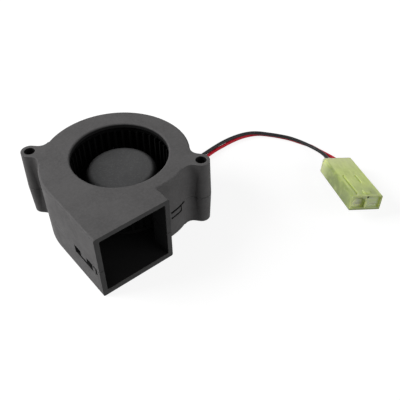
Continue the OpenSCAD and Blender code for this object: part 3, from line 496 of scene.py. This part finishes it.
def wire_insulation(name, first, second, scuff):
    """Extruded insulation: fine streaks along the wire, faint waves from its strands, and scuffed spots."""
    f = Finish(name, Specular_IOR_Level=0.18)
    streak = f.clouds(UNSCALED, 3.0, 0.6, vector=f.spread((9.0, 0.35, 1.0), source="UV"))
    tone = f.tint(streak, first, second)
    spot = f.remap(f.noise(2.2, 4.0, 0.65), 0.58, 0.8)
    f.to("Base Color", f.tint(f.times(spot, 0.5), tone, scuff))
    f.to("Roughness", f.clouds(1.4, 4.0, 0.6, 0.34, 0.52))
    f.bump(f.bands(UNSCALED, "DIAGONAL", f.spread((math.tau, 1.1, 1.0), source="UV")), 0.02, 0.25)
    f.bump(streak, 0.008, 0.3)
    return f.material


def turned_metal(name, first, second, rough, pitch, axis="Z", tarnish=(0.2, 0.15, 0.1), share=0.3):
    """Metal with fine tool lines, pitch apart along an axis, cloudy tone and some tarnish."""
    f = Finish(name, Metallic=1.0)
    tone = f.tint(f.clouds(1.8, 4.0, 0.6), first, second)
    stain = f.remap(f.noise(2.6, 5.0, 0.65, warp=0.7), 0.55, 0.8, 0.0, share)
    f.to("Base Color", f.tint(stain, tone, tarnish))
    f.to("Roughness", f.clouds(0.6, 3.0, 0.6, rough - 0.06, rough + 0.1))
    f.soft_edges(0.06)
    f.bump(f.bands(pitch, axis, warp=0.6), 0.004, 0.4)
    return f.material


def sintered_metal():
    """Pressed bronze powder, dark with oil: open pores all over."""
    f = Finish("sintered_bronze", Metallic=1.0)
    pore = f.remap(f.pores(0.12), 0.1, 0.45)
    f.to("Base Color", f.tint(pore, (0.16, 0.09, 0.05), (0.5, 0.31, 0.15)))
    f.to("Roughness", f.clouds(0.4, low=0.32, high=0.55))
    f.bump(pore, 0.02, 0.5)
    return f.material


def enamelled_winding():
    """Wound copper wire under red-brown enamel, with a fine unevenness."""
    f = Finish("winding_copper", Metallic=1.0, Coat_Weight=0.6, Coat_Roughness=0.15)
    f.to("Base Color", f.tint(f.clouds(0.5), (0.46, 0.14, 0.045), (0.66, 0.25, 0.09)))
    f.to("Roughness", f.clouds(0.3, 2.0, low=0.28, high=0.42))
    f.bump(f.noise(0.12, 2.0), 0.008, 0.3)
    return f.material


def laminated_steel():
    """A stack of stamped electrical steel sheets: layer lines along the height, and slightly rusty edges."""
    f = Finish("lamination_steel", Metallic=1.0)
    layer = f.bands(0.35, "Z", warp=0.15)
    tone = f.tint(f.remap(layer, 0.1, 0.5), (0.12, 0.12, 0.13), (0.38, 0.39, 0.42))
    rust = f.remap(f.noise(0.9, 5.0, 0.7), 0.58, 0.78, 0.0, 0.55)
    f.to("Base Color", f.tint(rust, tone, (0.2, 0.1, 0.05)))
    f.to("Roughness", f.clouds(0.5, low=0.34, high=0.56))
    f.bump(layer, 0.02, 0.6)
    return f.material


def pressed_magnet():
    """Bonded ferrite: near-black, grainy, with paler dust in its pores."""
    f = Finish("bonded_magnet", Specular_IOR_Level=0.4)
    grain = f.remap(f.noise(0.15, 3.0, 0.7), 0.35, 0.7)
    f.to("Base Color", f.tint(grain, (0.035, 0.035, 0.037), (0.085, 0.083, 0.082)))
    f.to("Roughness", f.clouds(0.8, low=0.5, high=0.72))
    f.bump(grain, 0.015, 0.4)
    return f.material


def printed_board():
    """Green solder resist over woven glass: the weave shows faintly, and copper tracks as paler bands."""
    f = Finish("board_laminate", Specular_IOR_Level=0.5, Coat_Weight=0.25, Coat_Roughness=0.2)
    weave = f.times(f.bands(0.45, "X"), f.bands(0.45, "Y"))
    track = f.remap(f.bands(2.2, "Z", kind="RINGS", warp=2.0), 0.62, 0.7)
    tone = f.tint(weave, (0.018, 0.11, 0.035), (0.03, 0.17, 0.055))
    f.to("Base Color", f.tint(track, tone, (0.06, 0.26, 0.09)))
    f.to("Roughness", f.clouds(1.5, 4.0, low=0.28, high=0.45))
    f.bump(weave, 0.01, 0.3)
    f.bump(track, 0.02, 0.4)
    return f.material


def fine_plastic(name, first, second, rough, grain=0.2, depth=0.012):
    """A small moulding: cloudy tone between two colours, paler edges and a fine grain."""
    f = Finish(name, Specular_IOR_Level=0.5)
    tone = f.tint(f.clouds(1.5, 4.0, 0.6), first, second)
    paler = tuple(min(1.0, 1.3 * c + 0.01) for c in second)
    f.to("Base Color", f.tint(f.edge_share(0.12, 0.35), tone, paler))
    f.to("Roughness", f.clouds(0.7, low=rough - 0.06, high=rough + 0.08))
    f.soft_edges(0.05)
    f.bump(f.noise(grain, 3.0, 0.6), depth, 0.35)
    return f.material


finishes = {
    "casing_plastic": moulded_casing(),
    "impeller_plastic": moulded_impeller(),
    "connector_nylon": cloudy_nylon(),
    "black_insulation": wire_insulation("black_insulation", (0.010, 0.010, 0.011), (0.018, 0.018, 0.019),
                                        (0.04, 0.04, 0.04)),
    "red_insulation": wire_insulation("red_insulation", (0.52, 0.005, 0.02), (0.70, 0.010, 0.034),
                                      (0.72, 0.05, 0.06)),
    "tube_brass": turned_metal("tube_brass", (0.62, 0.42, 0.14), (0.78, 0.57, 0.24), 0.26, 0.11),
    "sintered_bronze": sintered_metal(),
    "contact_brass": turned_metal("contact_brass", (0.68, 0.53, 0.24), (0.82, 0.66, 0.34), 0.22, 0.2, "X"),
    "winding_copper": enamelled_winding(),
    "pad_plastic": fine_plastic("pad_plastic", (0.78, 0.76, 0.66), (0.87, 0.85, 0.77), 0.35),
    "insulator_plastic": fine_plastic("insulator_plastic", (0.72, 0.72, 0.67), (0.83, 0.83, 0.79), 0.45),
    "slinger_plastic": fine_plastic("slinger_plastic", grey(0.03), grey(0.055), 0.5),
    "lamination_steel": laminated_steel(),
    "yoke_steel": turned_metal("yoke_steel", (0.42, 0.43, 0.45), (0.56, 0.57, 0.59), 0.34, 0.18, "Z",
                               (0.25, 0.22, 0.2), 0.35),
    "shaft_steel": turned_metal("shaft_steel", (0.64, 0.64, 0.66), (0.76, 0.76, 0.78), 0.18, 0.07, "Z",
                                (0.4, 0.38, 0.36), 0.2),
    "tinned_pins": turned_metal("tinned_pins", (0.66, 0.66, 0.67), grey(0.8), 0.3, 0.15, "Z",
                                (0.45, 0.44, 0.42), 0.35),
    "bonded_magnet": pressed_magnet(),
    "board_laminate": printed_board(),
    "chip_epoxy": fine_plastic("chip_epoxy", (0.014, 0.014, 0.015), (0.026, 0.026, 0.027), 0.55, 0.08, 0.008),
    "capacitor_body": fine_plastic("capacitor_body", (0.36, 0.25, 0.13), (0.5, 0.36, 0.21), 0.4, 0.1),
}

slot_of = {part["node"]: part["material_slot"] for part in frame["record"]["subparts"]}
for name, piece in nodes.items():
    piece.data.materials.clear()
    piece.data.materials.append(finishes[slot_of[name]])
black_wire.data.materials.append(finishes["black_insulation"])
red_wire.data.materials.append(finishes["red_insulation"])


# floor, light and background, in metres

WHITE = (1.0, 1.0, 1.0, 1.0)
FLOOR_HALF, FLOOR_Z = 3.0, -0.0001
FLOOR_GREY = (*grey(0.22), 1.0)
GLOW_NEAR, GLOW_FAR = 0.86, 1.0
FADE_FROM, FADE_TO = 0.08, 0.3
ROOM_LIGHT = 0.13
LAMPS_AIM = Vector((0.012, -0.005, 0.01))


def seen_share(tree):
    """1 for what the camera sees straight, in a mirror or through glass, 0 for the light on the object."""
    path = add_node(tree, "ShaderNodeLightPath")
    share = path.outputs["Is Camera Ray"]
    for ray in ("Is Glossy Ray", "Is Transmission Ray"):
        share = add_node(tree, "ShaderNodeMath", share, path.outputs[ray], operation="MAXIMUM").outputs[0]
    return share


def pale_paper():
    """The floor's finish: pale paper that shows the shadow, and glows up to full white far out."""
    paper = bpy.data.materials.new("floor_paper")
    paper.use_nodes = True
    tree = paper.node_tree
    tree.nodes.clear()
    diffuse = add_node(tree, "ShaderNodeBsdfDiffuse", FLOOR_GREY)
    place = add_node(tree, "ShaderNodeTexCoord")
    reach = add_node(tree, "ShaderNodeVectorMath", place.outputs["Object"], operation="LENGTH")
    fade = add_node(tree, "ShaderNodeMapRange", reach.outputs["Value"], FADE_FROM, FADE_TO,
                    GLOW_NEAR, GLOW_FAR)
    strength = add_node(tree, "ShaderNodeMath", seen_share(tree), fade.outputs[0], operation="MULTIPLY")
    glow = add_node(tree, "ShaderNodeEmission", None, strength.outputs[0])
    both = add_node(tree, "ShaderNodeAddShader", diffuse.outputs[0], glow.outputs[0])
    add_node(tree, "ShaderNodeOutputMaterial", both.outputs[0])
    return paper


def pale_floor():
    """A wide flat square under the blower."""
    side = np.array([-FLOOR_HALF, FLOOR_HALF])
    u, v = np.meshgrid(side, side, indexing="ij")
    corners = np.stack([u, v, np.full_like(u, FLOOR_Z)], axis=-1).reshape(-1, 3)
    mesh = bpy.data.meshes.new("floor")
    mesh.from_pydata(corners.tolist(), [], [[0, 2, 3, 1]])
    mesh.materials.append(pale_paper())
    floor = bpy.data.objects.new("floor", mesh)
    bpy.context.scene.collection.objects.link(floor)


def white_room():
    """A world that looks white, and lights the object with a dim grey."""
    world = bpy.data.worlds.new("white_room")
    world.use_nodes = True
    tree = world.node_tree
    tree.nodes.clear()
    shade = add_node(tree, "ShaderNodeBackground", WHITE, ROOM_LIGHT)
    white = add_node(tree, "ShaderNodeBackground", WHITE, 1.0)
    either = add_node(tree, "ShaderNodeMixShader", seen_share(tree), shade.outputs[0], white.outputs[0])
    add_node(tree, "ShaderNodeOutputWorld", either.outputs[0])
    bpy.context.scene.world = world


def soft_box(name, at, size, level):
    """A square lamp at a place, aimed at the blower; level 1 shows a facing colour about as it is written."""
    data = bpy.data.lights.new(name, "AREA")
    data.shape = "SQUARE"
    data.size = size
    place = Vector(at)
    data.energy = level * math.pi ** 2 * (place - LAMPS_AIM).length_squared
    lamp = bpy.data.objects.new(name, data)
    lamp.location = place
    lamp.rotation_mode = "QUATERNION"
    lamp.rotation_quaternion = (LAMPS_AIM - place).to_track_quat("-Z", "Y")
    bpy.context.scene.collection.objects.link(lamp)


pale_floor()
white_room()
soft_box("key_light", at=(-0.225, 0.179, 0.209), size=0.22, level=1.18)
soft_box("fill_light", at=(0.23, -0.45, 0.21), size=0.35, level=0.48)
bpy.context.scene.view_settings.view_transform = "Standard"
